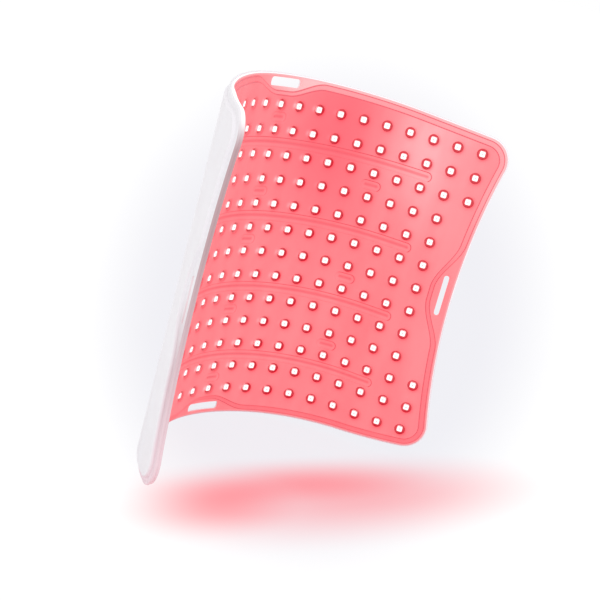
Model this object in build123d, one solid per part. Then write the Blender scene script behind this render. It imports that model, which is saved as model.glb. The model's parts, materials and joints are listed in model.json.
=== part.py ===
from build123d import *
import math
import os

# A flexible LED light therapy panel, curled into an upright screen.
#
# It is a white back skin and a translucent front skin of silicone, bonded round their rim and
# along ribs, with a flexible LED board between them. The sheet curls about vertical axes. It is
# modelled as five stiff lengths, each one arc, that bend about four fold lines between LED columns.
#
# Places on the sheet are given as a length s along its middle surface (the middle of the board)
# from the centre column, a height z from the centre row, and a depth n from the middle surface,
# which is positive towards the lit front. Seen from the front, s grows to the right.

# LED grid
led_pitch = 15.0
led_columns = 19
led_rows = 13
rows_at_full_width = 3

# Outline of the sheet laid flat: rims beyond the grid at the middle of each edge, and the edges'
# own curves, bowed out at the top and bottom and drawn in at the sides
end_rim = 18.0
side_rim = 22.8
crown_radius = 1470.0
waist_radius = 412.0
corner_radius = 15.0

# Curl: the radius of each length of the sheet, and the columns between the fold lines
centre_radius = 87.0
right_inner_radius = 77.0
right_end_radius = 180.0
left_inner_radius = 172.0
left_end_radius = 172.0
inner_fold_column_shares = 2.5
outer_fold_column_shares = 6.5

# Skins and board, through the thickness
flange_thickness = 2.6
front_step_height = 0.7
front_field_height = 1.4
back_field_height = 1.7
board_thickness = 0.6
board_clearance = 0.4
board_fit = 0.05

# Raised fields inside the rim
step_inset = 2.6
field_inset = 5.7
back_field_inset = 4.2
board_inset = 7.4

# Strap slots through the rim
slot_length = 26.0
end_slot_width = 5.4
side_slot_width = 3.2
slot_corner = 2.0
end_slot_rim = 2.6
side_slot_rim = 5.2
bay_margin = 2.4
field_bay_margin = 4.7
board_bay_margin = 6.4
side_bay_room = 1.8
end_bay_radius = 48.0
side_bay_radius = 30.0

# Wells and LEDs
well_diameter = 6.8
led_width = 3.5
led_height = 1.45
solder_gap = 0.05

# Grooves over the bonding ribs
groove_width = 5.7
groove_depth = 0.35
trough_width = 1.9
trough_depth = 0.35
groove_row_shares = (1.5, 4.5, 7.5, 10.5)
groove_reach_shares = 7.35
mark_length = 12.6
centre_mark_row_shares = (0.5, 3.5, 5.5, 8.5, 11.5)
side_mark_row_shares = (2.5, 6.5, 9.5)
side_mark_column_share = 5.0
rib_width = 1.9
rib_clearance = 0.35
rib_root = 0.5

# Current-limiting resistors on the back of the board
chip_length = 3.2
chip_width = 1.6
chip_height = 0.55
chip_clearance = 0.3

# Fold lines
fold_gap = 0.4
fold_angle = 43.0

# Power inlet on the back
inlet_row_share = 9.5
inlet_width = 34.0
inlet_height = 25.0
inlet_depth = 10.4
inlet_wall = 1.6
inlet_corner = 5.0
inlet_edge_fillet = 1.5
gasket_thickness = 0.8
gasket_width = 3.0
plate_thickness = 0.9
plate_margin = 4.0
plate_clearance = 0.2
screw_spread = 11.0
screw_shank_diameter = 1.8
screw_head_diameter = 3.4
screw_grip = 5.0
screw_sink = 0.1
boss_diameter = 4.6
boss_floor = 1.2
socket_diameter = 7.6
socket_length = 14.0
socket_bore_diameter = 5.6
socket_bore_depth = 9.5
socket_pin_diameter = 2.0
socket_pin_recess = 1.0
socket_nose = 0.6
socket_gap = 0.4
socket_clearance = 0.1
saddle_width = 3.0
lead_diameter = 1.1
lead_spacing = 3.6
lead_rise = 1.2
lead_bend = 1.6
lead_hole_width = 8.0
lead_hole_height = 4.4
pad_diameter = 2.4
pad_height = 0.35

# How far cutters run past what they cut
overrun = 1.0

rod_up = (Align.CENTER, Align.CENTER, Align.MIN)

middle_column = (led_columns - 1) / 2
middle_row = (led_rows - 1) / 2
half_height = middle_row * led_pitch + end_rim
half_waist = (middle_column - 1) * led_pitch + side_rim
flange_half = flange_thickness / 2
step_face = flange_half + front_step_height
field_face = flange_half + front_field_height
back_face = flange_half + back_field_height
board_half = board_thickness / 2
recess_half = board_half + board_fit
inner_fold = inner_fold_column_shares * led_pitch
outer_fold = outer_fold_column_shares * led_pitch
sheet_reach = half_waist + 2 * corner_radius
prism_depth = centre_radius / 4


class Arc:
    """One length of the curled sheet, an arc between two places s.

    It starts from a known point and heading at the place anchor. The heading is the angle by
    which the sheet has turned from the X axis towards the viewer, who looks along +Y.
    """

    def __init__(self, name, start, end, radius, anchor, point, heading):
        self.name = name
        self.start = start
        self.end = end
        self.radius = radius
        self.anchor = anchor
        self.anchor_heading = heading
        front = self.front(anchor)
        self.centre = (point[0] + radius * front[0], point[1] + radius * front[1])
        self.middle = (start + end) / 2

    def heading(self, s):
        return self.anchor_heading + (s - self.anchor) / self.radius

    def front(self, s):
        """Unit vector out of the lit front at s."""
        turn = self.heading(s)
        return (-math.sin(turn), -math.cos(turn))

    def along(self, s):
        """Unit vector along the sheet at s, towards larger s."""
        turn = self.heading(s)
        return (math.cos(turn), -math.sin(turn))

    def point(self, s, n=0):
        """Place of the sheet at s, at the depth n."""
        front = self.front(s)
        reach = self.radius - n
        return (self.centre[0] - reach * front[0], self.centre[1] - reach * front[1])

    def across(self, s):
        """Where s falls on the plane that touches the middle of this length."""
        return self.radius * math.sin((s - self.middle) / self.radius)

    def plane(self, s):
        """Plane on the middle surface at s: x along the sheet, y up, z out of the front."""
        x, y = self.point(s)
        along = self.along(s)
        front = self.front(s)
        return Plane(origin=(x, y, 0), x_dir=(along[0], along[1], 0), z_dir=(front[0], front[1], 0))


def chain_arcs():
    """The five lengths of the sheet, from the left end to the right, tangent at the folds."""
    centre = Arc("centre", -inner_fold, inner_fold, centre_radius, 0, (0, 0), 0)
    arcs = [centre]
    for side, inner_radius, end_radius, word in (
        (1, right_inner_radius, -right_end_radius, "right"),
        (-1, left_inner_radius, left_end_radius, "left"),
    ):
        before = centre
        for fold, reach, radius, place in (
            (inner_fold, outer_fold, inner_radius, "inner"),
            (outer_fold, sheet_reach, end_radius, "end"),
        ):
            start, end = sorted((side * fold, side * reach))
            arc = Arc(
                f"{word}_{place}", start, end, radius,
                side * fold, before.point(side * fold), before.heading(side * fold),
            )
            arcs.append(arc)
            before = arc
    return arcs


def row_height(row):
    return (middle_row - row) * led_pitch


def crown(s, inset):
    """Height of the sheet's top edge at s, moved in by inset."""
    radius = crown_radius - inset
    return half_height - crown_radius + math.sqrt(radius**2 - s**2)


def waist(z, inset):
    """Half width of the sheet at the height z, moved in by inset."""
    radius = waist_radius + inset
    return half_waist + waist_radius - math.sqrt(radius**2 - z**2)


def corner_points(inset):
    """Start, middle and end of the corner arc that rounds the top edge into the side edge."""
    radius = max(corner_radius - inset, corner_radius / 3)
    below = half_height - crown_radius
    beyond = half_waist + waist_radius
    reach_a = crown_radius - inset - radius
    reach_b = waist_radius + inset + radius
    apart = math.hypot(beyond, below)
    along = (reach_a**2 - reach_b**2 + apart**2) / (2 * apart)
    aside = math.sqrt(reach_a**2 - along**2)
    unit = (beyond / apart, -below / apart)
    centre_s = along * unit[0] - aside * unit[1]
    centre_z = below + along * unit[1] + aside * unit[0]
    top_angle = math.atan2(centre_z - below, centre_s)
    side_angle = math.atan2(-centre_z, beyond - centre_s)
    middle_angle = (top_angle + side_angle) / 2
    return [
        (centre_s + radius * math.cos(angle), centre_z + radius * math.sin(angle))
        for angle in (top_angle, middle_angle, side_angle)
    ]


def extrude_band(arc, inner, outer):
    """The layer between two depths, over the whole height and a little past the fold lines."""
    stops = (arc.start - overrun, arc.middle, arc.end + overrun)
    low = [arc.point(s, inner) for s in stops]
    high = [arc.point(s, outer) for s in reversed(stops)]
    edges = [
        ThreePointArc(*low),
        Line(low[2], high[0]),
        ThreePointArc(*high),
        Line(high[2], low[0]),
    ]
    face = make_face(edges)
    return extrude(face, amount=half_height + overrun, dir=(0, 0, 1), both=True)


def raise_prism(arc, sketch, s=None):
    """A flat shape carried through the whole depth of one length, square to the sheet at s."""
    plane = arc.plane(arc.middle if s is None else s)
    return extrude(plane * sketch, amount=prism_depth, both=True)


def draw_outline(arc, inset):
    """This length's share of the sheet's outline, moved in by inset."""
    if abs(arc.middle) < outer_fold:
        stops = [arc.start - overrun, arc.middle, arc.end + overrun]
        top = [(arc.across(s), crown(s, inset)) for s in stops]
        bottom = [(x, -z) for x, z in reversed(top)]
        edges = [ThreePointArc(*top), Line(top[2], bottom[0])]
        edges += [ThreePointArc(*bottom), Line(bottom[2], top[0])]
        return make_face(edges)
    side = math.copysign(1, arc.middle)
    corner = corner_points(inset)
    fold = outer_fold - overrun
    between = (fold + corner[0][0]) / 2
    top = [(fold, crown(fold, inset)), (between, crown(between, inset)), corner[0]]
    flank = [corner[2], (waist(0, inset), 0), (corner[2][0], -corner[2][1])]
    lower_corner = [(s, -z) for s, z in reversed(corner)]
    bottom = [(s, -z) for s, z in reversed(top)]
    runs = [
        [(arc.across(side * s), z) for s, z in run]
        for run in (top, corner, flank, lower_corner, bottom)
    ]
    edges = [ThreePointArc(*run) for run in runs]
    edges.append(Line(runs[-1][2], runs[0][0]))
    return make_face(edges)


def list_strap_slots(arc):
    """Place of each strap slot on this length: s, z and whether it lies along the height."""
    end_z = half_height - end_slot_rim - end_slot_width / 2
    side_s = half_waist - side_slot_rim - side_slot_width / 2
    if arc.start < 0 < arc.end:
        return [(0, end_z, False), (0, -end_z, False)]
    if abs(arc.middle) > outer_fold:
        return [(math.copysign(side_s, arc.middle), 0, True)]
    return []


def cut_strap_slots(arc, solid):
    for s, z, upright in list_strap_slots(arc):
        if upright:
            hole = Pos(0, z) * Rot(0, 0, 90) * SlotOverall(slot_length, side_slot_width)
        else:
            hole = Pos(0, z) * RectangleRounded(slot_length, end_slot_width, slot_corner)
        solid -= raise_prism(arc, hole, s)
    return solid


def draw_bays(arc, margin):
    """Round bays that keep a raised field clear of the strap slots by margin."""
    bays = []
    for s, z, upright in list_strap_slots(arc):
        if upright:
            radius = side_bay_radius + margin + side_bay_room
            shift = side_bay_radius - side_slot_width / 2
            centre = (arc.across(s + math.copysign(shift, s)), z)
        else:
            radius = end_bay_radius + margin
            shift = end_bay_radius - end_slot_width / 2
            centre = (0, z + math.copysign(shift, z))
        bays.append(Pos(*centre) * Circle(radius))
    return bays


def raise_field(arc, inner, outer, inset, margin):
    """A raised field of the sheet: its layer, inside the outline and clear of the slots."""
    field = extrude_band(arc, inner, outer) & raise_prism(arc, draw_outline(arc, inset))
    for bay in draw_bays(arc, margin):
        field -= raise_prism(arc, bay)
    return field


def list_ribs(arc):
    """Spans of the bonding ribs on this length: first s, last s and z of each groove."""
    reach = groove_reach_shares * led_pitch
    spans = [(-reach, reach, row_height(row)) for row in groove_row_shares]
    marks = [(0, row) for row in centre_mark_row_shares]
    side_mark = side_mark_column_share * led_pitch
    marks += [(s, row) for s in (-side_mark, side_mark) for row in side_mark_row_shares]
    spans += [(s - mark_length / 2, s + mark_length / 2, row_height(row)) for s, row in marks]
    return [span for span in spans if span[0] < arc.end and span[1] > arc.start]


def raise_ribs(arc, width):
    """Round-ended prisms of a width on the centre lines of the grooves."""
    inset = (groove_width - width) / 2
    prisms = []
    for first, last, z in list_ribs(arc):
        first = max(first + inset, arc.start - width - overrun)
        last = min(last - inset, arc.end + width + overrun)
        low, high = arc.across(first), arc.across(last)
        shape = Pos((low + high) / 2, z) * SlotOverall(high - low, width)
        prisms.append(raise_prism(arc, shape))
    return prisms


def list_columns(arc):
    """Places s of the LED columns on this length, each with its number from the left."""
    places = [((column - middle_column) * led_pitch, column) for column in range(led_columns)]
    return [(s, column) for s, column in places if arc.start < s < arc.end]


def list_rows(column):
    """Heights of the LEDs in a column: the end columns have none beside the side slots."""
    full = 0 < column < led_columns - 1
    rows = range(led_rows)
    kept = [
        row for row in rows
        if full or row < rows_at_full_width or row >= led_rows - rows_at_full_width
    ]
    return [row_height(row) for row in kept]


def raise_wells(arc):
    """Round holes over every LED, square to the sheet."""
    wells = []
    for s, column in list_columns(arc):
        circles = [Pos(0, z) * Circle(well_diameter / 2) for z in list_rows(column)]
        sketch = Sketch() + circles
        wells.append(extrude(arc.plane(s) * sketch, amount=field_face + overrun))
    return wells


def cut_folds(arc, solid):
    """Bevel each end of a piece that lies on a fold line, so that the sheet can bend there."""
    slope = math.tan(math.radians(fold_angle / 2))
    half = fold_gap / 2
    tall = back_face + overrun
    wide = led_pitch / 2
    corners = [(-half, 0), (-half - tall * slope, tall), (wide, tall)]
    corners += [(wide, -tall), (-half - tall * slope, -tall)]
    for fold in (arc.start, arc.end):
        if abs(fold) > outer_fold:
            continue
        side = 1 if fold == arc.end else -1
        x, y = arc.point(fold)
        along = arc.along(fold)
        front = arc.front(fold)
        points = [
            (x + side * u * along[0] + n * front[0], y + side * u * along[1] + n * front[1])
            for u, n in corners
        ]
        face = make_face(Polyline(*points, close=True))
        solid -= extrude(face, amount=half_height + overrun, dir=(0, 0, 1), both=True)
    return solid


def shape_board(arc):
    return raise_field(arc, -board_half, board_half, board_inset, board_bay_margin)


def shape_recess(arc):
    """The room that the two skins leave for the board."""
    bay = board_bay_margin - board_clearance
    return raise_field(arc, -recess_half, recess_half, board_inset - board_clearance, bay)


def build_board(arc):
    board = shape_board(arc)
    for slot in raise_ribs(arc, rib_width + 2 * rib_clearance):
        board -= slot
    return cut_folds(arc, board)


def build_front_skin(arc):
    """Flange, low step and LED field, with wells, grooves and a recess for the board."""
    skin = extrude_band(arc, 0, flange_half) & raise_prism(arc, draw_outline(arc, 0))
    skin += raise_field(arc, flange_half, step_face, step_inset, bay_margin)
    skin += raise_field(arc, step_face, field_face, field_inset, field_bay_margin)
    skin -= shape_recess(arc)
    for width, depth in (
        (groove_width, groove_depth),
        (trough_width, groove_depth + trough_depth),
    ):
        layer = extrude_band(arc, field_face - depth, field_face + overrun)
        for prism in raise_ribs(arc, width):
            skin -= layer & prism
    skin -= raise_wells(arc)
    return cut_folds(arc, cut_strap_slots(arc, skin))


def build_back_skin(arc):
    """Flange and back field, with a recess for the board and ribs that bond to the front."""
    skin = extrude_band(arc, -flange_half, 0) & raise_prism(arc, draw_outline(arc, 0))
    skin += raise_field(arc, -back_face, -flange_half, back_field_inset, bay_margin)
    skin -= shape_recess(arc)
    layer = extrude_band(arc, -recess_half - rib_root, recess_half)
    for prism in raise_ribs(arc, rib_width):
        skin += layer & prism
    for s, column in list_columns(arc):
        if 0 < column < led_columns - 1:
            skin -= place_chip(arc, s, chip_clearance)
    if arc.start < 0 < arc.end:
        skin = cut_inlet_seat(arc, skin)
    return cut_folds(arc, cut_strap_slots(arc, skin))


def place_chip(arc, s, clearance):
    """A resistor on the back of the board, behind the LED in the middle row."""
    chip = Box(
        chip_length + 2 * clearance, chip_width + 2 * clearance, chip_height + clearance,
        align=(Align.CENTER, Align.CENTER, Align.MAX),
    )
    return arc.plane(s).location * Pos(0, 0, -board_half - solder_gap) * chip


def build_chips(arc):
    spots = [s for s, column in list_columns(arc) if 0 < column < led_columns - 1]
    return Compound([place_chip(arc, s, 0) for s in spots])


def build_leds(arc):
    """Square LED packages on the front of the board."""
    package = Box(led_width, led_width, led_height, align=rod_up)
    return Compound([
        arc.plane(s).location * Pos(0, z, board_half + solder_gap) * package
        for s, column in list_columns(arc)
        for z in list_rows(column)
    ])


inlet_z = row_height(inlet_row_share)
gasket_face = back_face + gasket_thickness
inlet_roof = gasket_face + inlet_depth
plate_face = board_half + plate_clearance
plate_back = plate_face + plate_thickness
socket_y = gasket_face + socket_gap + socket_diameter / 2
socket_base = inlet_z - inlet_height / 2 - socket_nose
socket_top = socket_base + socket_length
lead_z = socket_top + lead_rise + lead_bend


def draw_inlet(margin):
    """Round-cornered shape of the inlet, moved in by margin."""
    corner = max(inlet_corner - margin, inlet_corner / 3)
    return Pos(0, inlet_z) * RectangleRounded(
        inlet_width - 2 * margin, inlet_height - 2 * margin, corner
    )


def stand_rod(arc, s, diameter, first, last):
    """A round rod square to the sheet at s, between two depths behind its middle surface."""
    rod = Cylinder(diameter / 2, last - first, align=(Align.CENTER, Align.CENTER, Align.MAX))
    return arc.plane(s).location * Pos(0, inlet_z, -first) * rod


def raise_lead_hole(arc):
    hole = Pos(0, lead_z) * SlotOverall(lead_hole_width, lead_hole_height)
    return extrude(arc.plane(0) * hole, amount=-gasket_face)


def cut_inlet_seat(arc, skin):
    """Recess for the backing plate, with the holes for the leads and screws."""
    plate = extrude_band(arc, -plate_back - plate_clearance, 0)
    skin -= plate & raise_prism(arc, draw_inlet(plate_margin - plate_clearance))
    skin -= raise_lead_hole(arc)
    for s in (-screw_spread, screw_spread):
        skin -= stand_rod(arc, s, screw_shank_diameter + 2 * socket_clearance, 0, gasket_face)
    return skin


def build_backing_plate(arc):
    plate = extrude_band(arc, -plate_back, -plate_face)
    plate &= raise_prism(arc, draw_inlet(plate_margin))
    plate -= raise_lead_hole(arc)
    for s in (-screw_spread, screw_spread):
        plate -= build_screw(arc, s)
    return plate


def build_screw(arc, s):
    """Countersunk screw, its head flush with the front of the backing plate."""
    sink = (screw_head_diameter - screw_shank_diameter) / 2
    head = Cone(
        screw_shank_diameter / 2, screw_head_diameter / 2, sink,
        align=(Align.CENTER, Align.CENTER, Align.MAX),
    )
    head = arc.plane(s).location * Pos(0, inlet_z, -plate_face - screw_sink) * head
    first = plate_face + screw_sink + sink / 2
    return head + stand_rod(arc, s, screw_shank_diameter, first, gasket_face + screw_grip)


def build_gasket(arc):
    ring = draw_inlet(0) - draw_inlet(gasket_width)
    return extrude_band(arc, -gasket_face, -back_face) & raise_prism(arc, ring)


def build_housing(arc):
    """Hollow cover on the back, with two screw bosses and a saddle for the socket."""
    plane = arc.plane(0)
    block = extrude(plane * draw_inlet(0), amount=-inlet_roof)
    block = fillet(block.faces().sort_by(Axis.Y)[-1].edges(), inlet_edge_fillet)
    room = extrude(plane * draw_inlet(inlet_wall), amount=inlet_wall - inlet_roof)
    x, y = arc.centre
    sheet = Pos(x, y, inlet_z) * Cylinder(arc.radius + gasket_face, 2 * inlet_height)
    housing = block - room - sheet
    for s in (-screw_spread, screw_spread):
        boss = stand_rod(arc, s, boss_diameter, back_face, 2 * inlet_roof) & block
        hole = stand_rod(arc, s, screw_shank_diameter, 0, gasket_face + screw_grip + boss_floor)
        housing += boss
        housing -= hole
    saddle = Box(
        socket_diameter, inlet_roof - socket_y - inlet_wall / 2, saddle_width,
        align=(Align.CENTER, Align.MIN, Align.MAX),
    )
    housing += Pos(0, socket_y, socket_top) * saddle
    bed = Cylinder(
        socket_diameter / 2 + socket_clearance, socket_length + 2 * overrun, align=rod_up
    )
    return housing - Pos(0, socket_y, socket_base - overrun) * bed


def build_socket():
    body = Pos(0, socket_y, socket_base) * Cylinder(socket_diameter / 2, socket_length, align=rod_up)
    bore = Cylinder(socket_bore_diameter / 2, socket_bore_depth, align=rod_up)
    return body - Pos(0, socket_y, socket_base) * bore


def build_socket_pin():
    length = socket_bore_depth - socket_pin_recess
    pin = Cylinder(socket_pin_diameter / 2, length, align=rod_up)
    return Pos(0, socket_y, socket_base + socket_pin_recess) * pin


def build_leads(arc):
    """Two leads from the socket to the back of the board, and the solder pads that hold them."""
    leads = []
    pads = []
    for s in (-lead_spacing / 2, lead_spacing / 2):
        x, y = arc.point(s, -board_half - pad_height)
        path = FilletPolyline(
            (x, socket_y, socket_top), (x, socket_y, lead_z), (x, y, lead_z), radius=lead_bend
        )
        start = Plane(origin=(x, socket_y, socket_top), z_dir=(0, 0, 1))
        leads.append(sweep(start * Circle(lead_diameter / 2), path=path))
        pad = Cylinder(pad_diameter / 2, pad_height, align=(Align.CENTER, Align.CENTER, Align.MAX))
        pads.append(arc.plane(s).location * Pos(0, lead_z, -board_half) * pad)
    return Compound(leads), Compound(pads)


def build_all():
    pieces = {}
    for arc in chain_arcs():
        pieces[f"front_skin_{arc.name}"] = build_front_skin(arc)
        pieces[f"back_skin_{arc.name}"] = build_back_skin(arc)
        pieces[f"led_board_{arc.name}"] = build_board(arc)
        pieces[f"led_packages_{arc.name}"] = build_leds(arc)
        pieces[f"resistors_{arc.name}"] = build_chips(arc)
        if arc.name == "centre":
            pieces["inlet_backing_plate"] = build_backing_plate(arc)
            screws = [build_screw(arc, s) for s in (-screw_spread, screw_spread)]
            pieces["inlet_screws"] = Compound(screws)
            pieces["inlet_gasket"] = build_gasket(arc)
            pieces["inlet_housing"] = build_housing(arc)
            pieces["power_socket"] = build_socket()
            pieces["power_socket_pin"] = build_socket_pin()
            leads, pads = build_leads(arc)
            pieces["inlet_leads"] = leads
            pieces["solder_pads"] = pads
    return pieces


def main():
    pieces = build_all()
    box = Compound(list(pieces.values())).bounding_box()
    shift = Pos(-box.center().X, -box.center().Y, -box.min.Z)
    os.makedirs("parts", exist_ok=True)
    for name, piece in pieces.items():
        export_step(shift * piece, f"parts/{name}.step")
    x, y, z = shift.position
    print("size", box.size, "shift", x, y, z)
    for arc in chain_arcs():
        for fold in (arc.start, arc.end):
            if abs(fold) <= outer_fold:
                at = arc.point(fold)
                print("fold of", arc.name, round(at[0] + x, 4), round(at[1] + y, 4))
    print("socket mouth", x, socket_y + y, socket_base + z)


main()
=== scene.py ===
import json
import math

import bpy
import numpy as np
from bpy.props import FloatProperty, FloatVectorProperty, IntProperty, PointerProperty
from mathutils import Matrix, Vector


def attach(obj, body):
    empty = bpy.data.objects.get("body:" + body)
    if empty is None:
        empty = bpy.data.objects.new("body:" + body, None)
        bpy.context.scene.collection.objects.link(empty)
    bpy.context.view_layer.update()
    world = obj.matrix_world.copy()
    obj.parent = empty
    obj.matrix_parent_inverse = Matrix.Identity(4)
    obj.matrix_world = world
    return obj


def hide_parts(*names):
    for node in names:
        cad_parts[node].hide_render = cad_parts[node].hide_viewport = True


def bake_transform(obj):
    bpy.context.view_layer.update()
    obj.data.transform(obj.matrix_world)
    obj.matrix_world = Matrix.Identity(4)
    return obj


bl_info = {
    "name": "Light therapy panel",
    "version": (1, 0, 0),
    "blender": (4, 5, 0),
    "location": "3D View > Sidebar > Panel",
    "description": "Dresses a curled silicone light therapy panel and its studio stage",
    "category": "Object",
}

# Lengths are in metres. A place on the sheet is s along the curl from the centre column, z up
# from the centre row, and n out of the middle surface towards the lit front.

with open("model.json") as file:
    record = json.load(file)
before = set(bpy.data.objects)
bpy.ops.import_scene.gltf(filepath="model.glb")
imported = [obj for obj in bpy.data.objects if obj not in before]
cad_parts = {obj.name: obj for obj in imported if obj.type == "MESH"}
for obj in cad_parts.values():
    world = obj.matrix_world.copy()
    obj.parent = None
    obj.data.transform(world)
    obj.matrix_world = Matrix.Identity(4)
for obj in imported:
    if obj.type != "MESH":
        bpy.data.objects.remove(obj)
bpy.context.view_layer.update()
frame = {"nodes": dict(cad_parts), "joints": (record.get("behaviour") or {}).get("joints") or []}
joints = {joint["name"]: joint for joint in frame["joints"]}

# Columns and rows are counted from the middle of the sheet, in LED pitches.
FOLD_COLUMNS = (-6.5, -2.5, 2.5, 6.5)
BODIES = ("left_end", "left_inner", "centre", "right_inner", "right_end")  # between those
SIDE_COLUMN = 7  # past it lie the side slots and their bays
END_ROW = 5  # past it lie the end slots and their bays
SPREAD_ROW = 4  # past it the rays of the sides spread towards the corners
GROOVE_ROWS = (4.5, 1.5, -1.5, -4.5)
GROOVE_REACH = 7.35  # from the middle column to either end of a groove
MARK_ROWS = (5.5, 2.5, 0.5, -2.5, -5.5)  # of the short marks on the middle column
SIDE_MARK_COLUMN, SIDE_MARK_ROWS = 5, (3.5, -0.5, -3.5)  # of those on both sides of it

# Grid lines from a cell's centre to its border, in pitches. The first ones become the circles of
# a well and its lip. The others are even across, and upright they follow the grooves' walls.
WELL_LINES = (0, 0.0567, 0.1133, 0.17, 0.2267, 0.2433, 0.2733, 0.3)
ACROSS_LINES = WELL_LINES + (0.35, 0.4, 0.45, 0.5)
UPRIGHT_LINES = WELL_LINES + (0.3167, 0.36, 0.41, 0.4367, 0.4633, 0.5)
BACK_LINES = (0, 0.1, 0.2, 0.3, 0.4, 0.5)
QUIET = WELL_LINES[-1]  # where the rings are square again
NUDGE = 1e-7  # well under any gap between grid lines
FRONT_FILL, BACK_FILL = 8, 6  # steps from the cells out to the first ring

SHARP_ANGLE = 40  # degrees; edges that turn more stay sharp

# Rings of grid lines along the edge, as insets. Those of a ramp are counted in from its contour.
# BACK_RINGS also has the shares of the field's and the step's bays that a ring follows.
RAMP_RINGS = (0.0006, 0.00025, 0, -0.00025, -0.0006)
FRONT_ROUND_RINGS = (0.0009, 0.0007, 0.00045, 0.0002, 0.00006, 0)
BACK_ROUND_RINGS = (0.0013, 0.0008, 0.00045, 0.0002, 0.00006, 0)
BACK_RINGS = (
    (0.0057, 1, 0), (0.00485, 0.5, 0.5), (0.0046, 0, 0.84), (0.0042, 0, 0.8),
    (0.0038, 0, 0.8), (0.0034, 0, 0.8),
)


def length(name, description, default):
    """A length that the sidebar shows."""
    return FloatProperty(
        name=name, description=description, default=default, unit="LENGTH", precision=5
    )


def colour(name, description, default):
    """A colour that the sidebar shows."""
    return FloatVectorProperty(
        name=name, description=description, default=default, subtype="COLOR",
        size=3, min=0, max=1,
    )


def strength(name, description, default):
    """A share or a light level that the sidebar shows."""
    return FloatProperty(name=name, description=description, default=default, min=0)


class SheetSizes(bpy.types.PropertyGroup):
    """Sizes of the sheet laid flat, of its curl, and of what is moulded into it."""

    pitch: length("LED pitch", "Distance between LED centres", 0.015)
    columns: IntProperty(name="Columns", description="Columns of LEDs", default=19)
    rows: IntProperty(name="Rows", description="Rows of LEDs", default=13)
    full_rows: IntProperty(
        name="Full rows", description="Rows at each end that fill the end columns", default=3
    )
    end_rim: length("End rim", "Rim beyond the top and bottom LEDs", 0.018)
    side_rim: length("Side rim", "Rim beyond the middle side LEDs", 0.0228)
    crown_radius: length("Crown radius", "Bow of the top and bottom edges", 1.47)
    waist_radius: length("Waist radius", "Draw of the side edges", 0.412)
    corner_radius: length("Corner radius", "Rounding of the corners", 0.015)
    centre_radius: length("Centre radius", "Curl between the inner folds", 0.087)
    right_inner_radius: length("Right inner radius", "Curl right of the centre", 0.077)
    right_end_radius: length("Right end radius", "Back bend of the right end", 0.18)
    left_inner_radius: length("Left inner radius", "Curl left of the centre", 0.172)
    left_end_radius: length("Left end radius", "Curl of the left end", 0.172)
    flange: length("Rim half", "Half of the rim's thickness", 0.0013)
    step_height: length("Step height", "Rise of the low step", 0.0007)
    field_height: length("Field height", "Rise of the LED field over the rim", 0.0014)
    back_height: length("Back height", "Rise of the back field over the rim", 0.0017)
    recess: length("Recess", "Half of the room for the board", 0.00035)
    recess_inset: length("Recess inset", "Edge of the board's room", 0.007)
    step_inset: length("Step inset", "Edge of the low step", 0.0026)
    field_inset: length("Field inset", "Edge of the LED field", 0.0057)
    back_inset: length("Back inset", "Edge of the back field", 0.0042)
    edge_ramp: length("Edge ramp", "Width of the fields' edges", 0.0005)
    rim_round: length("Rim rounding", "Rounding of the outer edge", 0.0007)
    front_edge: length("Front edge", "How far the front skin's edge stands back", 0.0007)
    left_lip: length("Left lip", "Height of the bead along the front's left edge", 0.001)
    left_lip_width: length("Left lip width", "Width of that bead", 0.004)
    slot_length: length("Slot length", "Strap slots, end to end", 0.026)
    end_slot_width: length("End slot width", "Top and bottom slots", 0.0054)
    side_slot_width: length("Side slot width", "Slots in the sides", 0.0032)
    slot_corner: length("Slot corner", "Corners of the end slots", 0.002)
    end_slot_rim: length("End slot rim", "Rim outside the end slots", 0.0026)
    side_slot_rim: length("Side slot rim", "Rim outside the side slots", 0.0052)
    step_bay: length("Step bay", "Gap from slot to step", 0.0024)
    field_bay: length("Field bay", "Gap from slot to field", 0.0047)
    recess_bay: length("Recess bay", "Gap from slot to the board's room", 0.006)
    side_bay_room: length("Side bay room", "More gap at the side slots", 0.0018)
    end_bay_start: length("End bay start", "Half of an end bay's level part", 0.0053)
    end_bay_reach: length("End bay reach", "Half of an end bay", 0.0317)
    side_bay_start: length("Side bay start", "Half of a side bay's level part", 0.004)
    side_bay_reach: length("Side bay reach", "Half of a side bay", 0.034)
    well: length("Well radius", "Radius of the LED wells", 0.0034)
    lip: length("Lip radius", "Outer radius of the rounded lip", 0.00365)
    lip_drop: length("Lip drop", "How far the lip falls", 0.00012)
    groove_width: length("Groove width", "Grooves over the ribs", 0.0057)
    groove_depth: length("Groove depth", "Depth of the grooves", 0.00035)
    groove_ramp: length("Groove ramp", "Width of the grooves' walls", 0.0002)
    trough_width: length("Trough width", "Soft channel in a groove", 0.0019)
    trough_depth: length("Trough depth", "Depth of the soft channel", 0.00035)
    trough_ramp: length("Trough ramp", "Width of the channel's walls", 0.0008)
    mark_length: length("Mark length", "Short marks, end to end", 0.0126)
    led_width: length("LED width", "Side of an LED package", 0.0035)
    led_height: length("LED height", "Height of an LED package", 0.0020)
    led_seat: length("LED seat", "Foot of the LED packages", 0.00035)


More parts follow.
